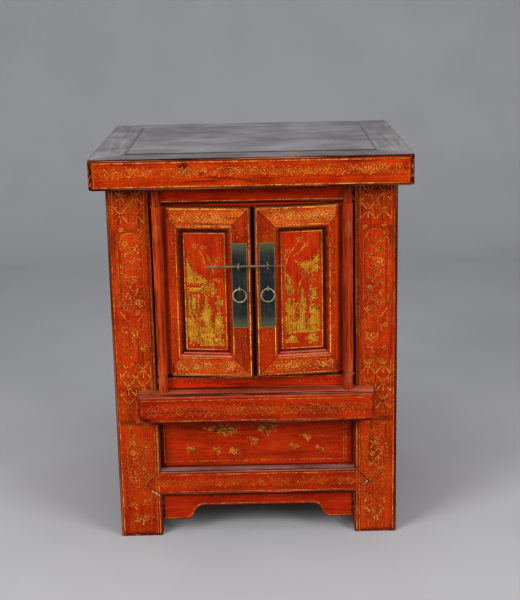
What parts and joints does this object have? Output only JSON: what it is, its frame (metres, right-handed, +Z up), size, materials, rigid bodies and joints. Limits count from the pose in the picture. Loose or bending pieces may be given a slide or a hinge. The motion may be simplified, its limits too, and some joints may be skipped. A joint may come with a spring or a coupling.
{
  "type": "cabinet on stand",
  "caption": "Lacquered cupboard with doors on round wooden poles under a thick framed top, above a projecting ledge, a closed chest and a shaped apron between square legs.",
  "frame": {"origin": "middle of the footprint, on the floor", "axes": "+Z up, +X to the right of someone facing the doors, the doors face -Y"},
  "size_m": [0.64, 0.54, 0.824],
  "materials": {
    "top_lacquer": "worn grey-brown lacquer",
    "post_lacquer": "red lacquer with gilt lines",
    "rail_lacquer": "red lacquer with gilt lines",
    "ledge_lacquer": "red lacquer with gilt lines, worn on top",
    "apron_lacquer": "red lacquer with a gilt line",
    "chest_lacquer": "red lacquer with gilt flowers",
    "leaf_lacquer": "red lacquer with gilt scrolls",
    "leaf_painting": "red lacquer with a gilt scene",
    "side_lacquer": "plain red lacquer",
    "back_wood": "thin stain",
    "inner_wood": "bare wood",
    "plate_brass": "dark patina",
    "ring_brass": "rubbed bright",
    "pin_brass": "rubbed"
  },
  "bodies": {
    "cabinet": {"top_front_rail": "top_lacquer", "top_back_rail": "top_lacquer", "top_left_end": "top_lacquer", "top_right_end": "top_lacquer", "top_panel": "top_lacquer", "top_batten": "inner_wood", "front_left_post": "post_lacquer", "front_right_post": "post_lacquer", "back_left_post": "side_lacquer", "back_right_post": "side_lacquer", "lintel_rail": "rail_lacquer", "sill_rail": "rail_lacquer", "ledge_rail": "ledge_lacquer", "lower_rail": "ledge_lacquer", "lower_panel": "chest_lacquer", "apron": "apron_lacquer", "left_top_rail": "side_lacquer", "left_middle_rail": "side_lacquer", "left_bottom_rail": "side_lacquer", "left_upper_panel": "side_lacquer", "left_lower_panel": "side_lacquer", "right_top_rail": "side_lacquer", "right_middle_rail": "side_lacquer", "right_bottom_rail": "side_lacquer", "right_upper_panel": "side_lacquer", "right_lower_panel": "side_lacquer", "back_top_rail": "back_wood", "back_middle_rail": "back_wood", "back_bottom_rail": "back_wood", "back_upper_panel": "back_wood", "back_lower_panel": "back_wood", "cupboard_floor": "inner_wood", "chest_floor": "inner_wood"},
    "left_door": {"left_door_pivot_stile": "leaf_lacquer", "left_door_meeting_stile": "leaf_lacquer", "left_door_top_rail": "leaf_lacquer", "left_door_bottom_rail": "leaf_lacquer", "left_door_panel": "leaf_painting", "left_door_lock_plate": "plate_brass", "left_door_pin_eye": "ring_brass", "left_door_ring_eye": "ring_brass"},
    "right_door": {"right_door_pivot_stile": "leaf_lacquer", "right_door_meeting_stile": "leaf_lacquer", "right_door_top_rail": "leaf_lacquer", "right_door_bottom_rail": "leaf_lacquer", "right_door_panel": "leaf_painting", "right_door_lock_plate": "plate_brass", "right_door_pin_eye": "ring_brass", "right_door_ring_eye": "ring_brass"},
    "left_ring": {"left_door_ring": "ring_brass"},
    "right_ring": {"right_door_ring": "ring_brass"},
    "lock_pin": {"lock_pin": "pin_brass"}
  },
  "joints": [
    {"name": "left_door_hinge", "type": "hinge", "parent": "cabinet", "child": "left_door", "pos_m": [-0.191, -0.223, 0.5], "axis": [0, 0, -1], "range_deg": [-7, 140]},
    {"name": "right_door_hinge", "type": "hinge", "parent": "cabinet", "child": "right_door", "pos_m": [0.191, -0.223, 0.5], "axis": [0, 0, 1], "range_deg": [-7, 140]},
    {"name": "lock_pin_slide", "type": "slide", "parent": "left_door", "child": "lock_pin", "axis": [-1, 0, 0], "range_m": [0, 0.062]},
    {"name": "left_ring_hinge", "type": "hinge", "parent": "left_door", "child": "left_ring", "pos_m": [-0.02846, -0.25726, 0.5555], "axis": [-0.9925, 0.1219, 0], "range_deg": [0, 95]},
    {"name": "right_ring_hinge", "type": "hinge", "parent": "right_door", "child": "right_ring", "pos_m": [0.02846, -0.25726, 0.5555], "axis": [-0.9925, -0.1219, 0], "range_deg": [0, 95]}
  ],
  "couplings": [
    {"joint": "right_door_hinge", "follows": "left_door_hinge", "ratio": 1}
  ]
}
